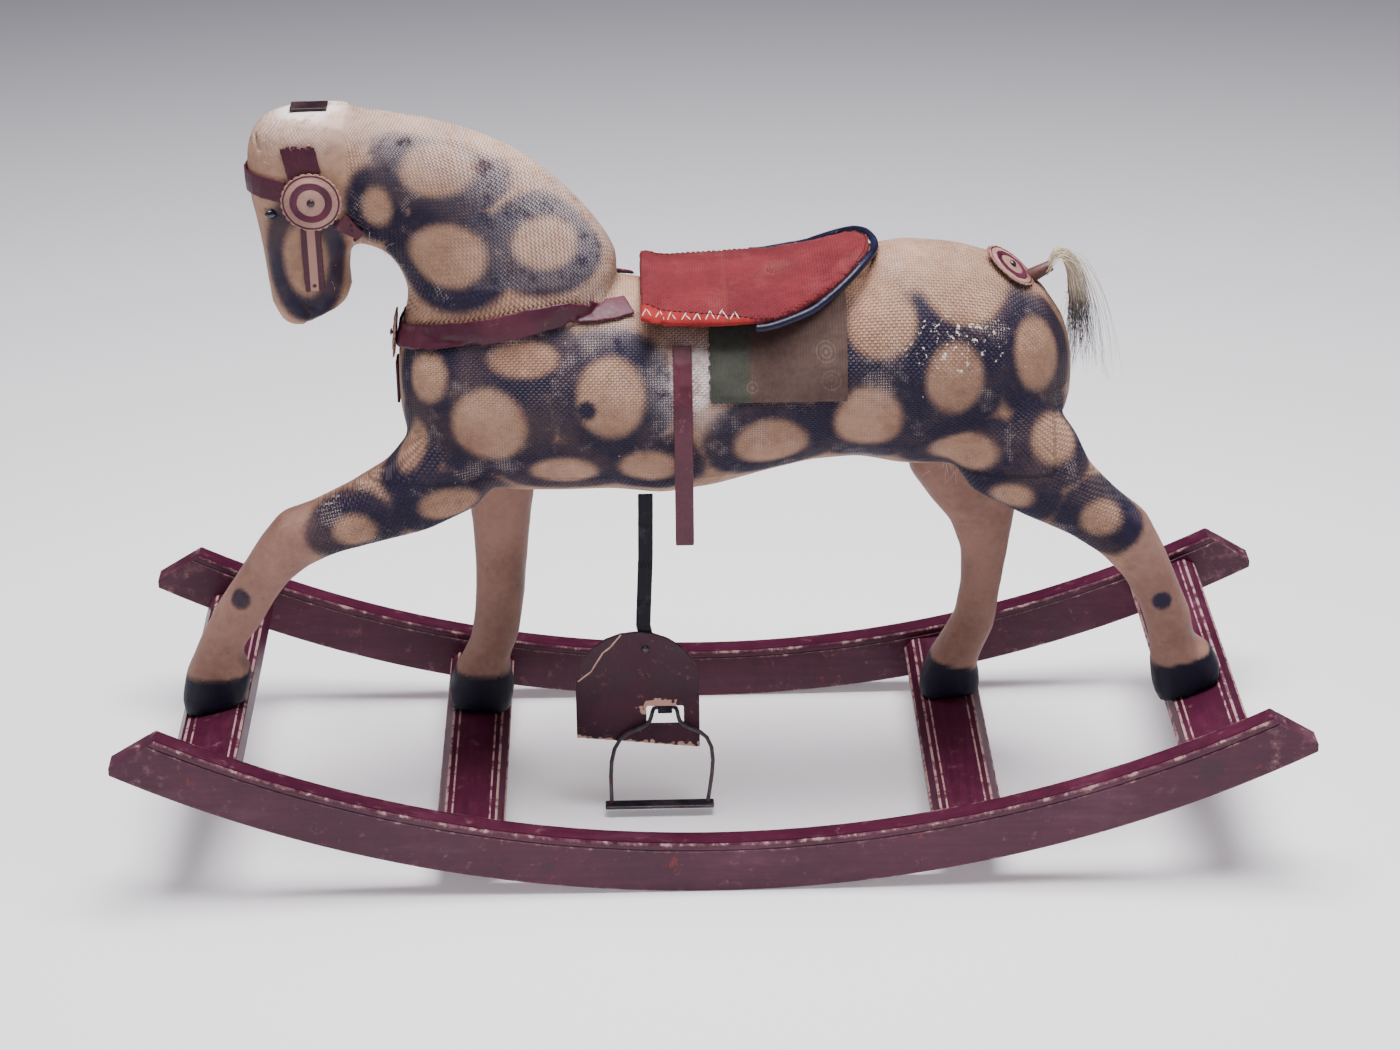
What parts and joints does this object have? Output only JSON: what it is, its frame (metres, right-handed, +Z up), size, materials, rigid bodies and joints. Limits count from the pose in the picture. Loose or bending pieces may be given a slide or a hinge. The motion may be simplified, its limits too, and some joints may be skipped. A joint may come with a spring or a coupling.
{
  "type": "rocking horse",
  "caption": "Carved toy horse with cloth-covered body, leather tack and a hanging wire stirrup, standing on two bow rockers joined by cross slats.",
  "frame": {"origin": "on the floor, at the middle of the rockers' length and width", "axes": "the horse faces -X, its near (left) side is -Y, +Z is up"},
  "size_m": [1, 0.355, 0.6405],
  "materials": {
    "dappled_cloth": "gessoed woven cloth glued over wood, tan with navy dapples, worn",
    "painted_leg_wood": "tan paint over wood, satin, hooves navy black",
    "maroon_paint": "dark maroon paint over wood, satin, chipped at the edges",
    "raw_wood": "bare turned wood",
    "maroon_leather": "thin maroon leather, satin, cracked",
    "red_saddle_cloth": "brick red felted cloth over a stiff pad, matt",
    "navy_piping_leather": "glossy navy piping",
    "olive_brown_cloth": "olive to brown patterned cloth, matt",
    "black_webbing": "black woven webbing, matt",
    "dark_iron": "dark iron, satin, a little rust",
    "dark_eye": "glossy black bead",
    "tail_hair": "blond to grey hair"
  },
  "bodies": {
    "horse": {"torso": "dappled_cloth", "neck": "dappled_cloth", "head": "dappled_cloth", "near_front_leg": "painted_leg_wood", "far_front_leg": "painted_leg_wood", "near_hind_leg": "painted_leg_wood", "far_hind_leg": "painted_leg_wood", "near_rocker": "maroon_paint", "far_rocker": "maroon_paint", "front_slat": "maroon_paint", "front_middle_slat": "maroon_paint", "rear_middle_slat": "maroon_paint", "rear_slat": "maroon_paint", "neck_dowel": "raw_wood", "head_dowel": "raw_wood", "near_front_leg_dowel": "raw_wood", "far_front_leg_dowel": "raw_wood", "near_hind_leg_dowel": "raw_wood", "far_hind_leg_dowel": "raw_wood", "near_front_hoof_screw": "dark_iron", "far_front_hoof_screw": "dark_iron", "near_hind_hoof_screw": "dark_iron", "far_hind_hoof_screw": "dark_iron", "breast_strap": "maroon_leather", "browband": "maroon_leather", "poll_leather": "maroon_leather", "near_crown_strap": "maroon_leather", "far_crown_strap": "maroon_leather", "near_cheek_strap": "maroon_leather", "far_cheek_strap": "maroon_leather", "near_throat_strap": "maroon_leather", "far_throat_strap": "maroon_leather", "near_cheek_rosette": "maroon_leather", "far_cheek_rosette": "maroon_leather", "chest_rosette": "maroon_leather", "crupper_rosette": "maroon_leather", "near_cheek_rosette_tack": "dark_iron", "far_cheek_rosette_tack": "dark_iron", "chest_rosette_tack": "dark_iron", "crupper_rosette_tack": "dark_iron", "near_eye": "dark_eye", "far_eye": "dark_eye", "saddle_cloth": "olive_brown_cloth", "saddle": "red_saddle_cloth", "saddle_button": "red_saddle_cloth", "saddle_piping": "navy_piping_leather"},
    "near_strap_body": {"near_strap": "maroon_leather"},
    "stirrup_leather": {"stirrup_strap": "black_webbing", "stirrup_flap": "maroon_leather", "flap_tack": "dark_iron"},
    "stirrup": {"stirrup_wire": "dark_iron", "stirrup_tread": "dark_iron"},
    "breast_tongue_body": {"breast_tongue": "maroon_leather"},
    "tail_body": {"tail": "tail_hair"}
  },
  "joints": [
    {"name": "near_strap_swing", "type": "hinge", "parent": "horse", "child": "near_strap_body", "pos_m": [-0.0215, -0.0652, 0.4515], "axis": [1, 0, 0], "range_deg": [-50, 0]},
    {"name": "stirrup_strap_swing", "type": "hinge", "parent": "horse", "child": "stirrup_leather", "pos_m": [-0.0535, -0.0495, 0.3112], "axis": [1, 0, 0], "range_deg": [-17, 45]},
    {"name": "stirrup_swing", "type": "hinge", "parent": "stirrup_leather", "child": "stirrup", "pos_m": [-0.04, -0.0421, 0.102], "axis": [1, 0, 0], "range_deg": [-50, 0]},
    {"name": "breast_tongue_swing", "type": "hinge", "parent": "horse", "child": "breast_tongue_body", "pos_m": [-0.2575, 0, 0.4179], "axis": [0, 1, 0], "range_deg": [0, 60]},
    {"name": "tail_swing", "type": "hinge", "parent": "horse", "child": "tail_body", "pos_m": [0.28, 0, 0.485], "axis": [0, -1, 0], "range_deg": [0, 50]}
  ]
}
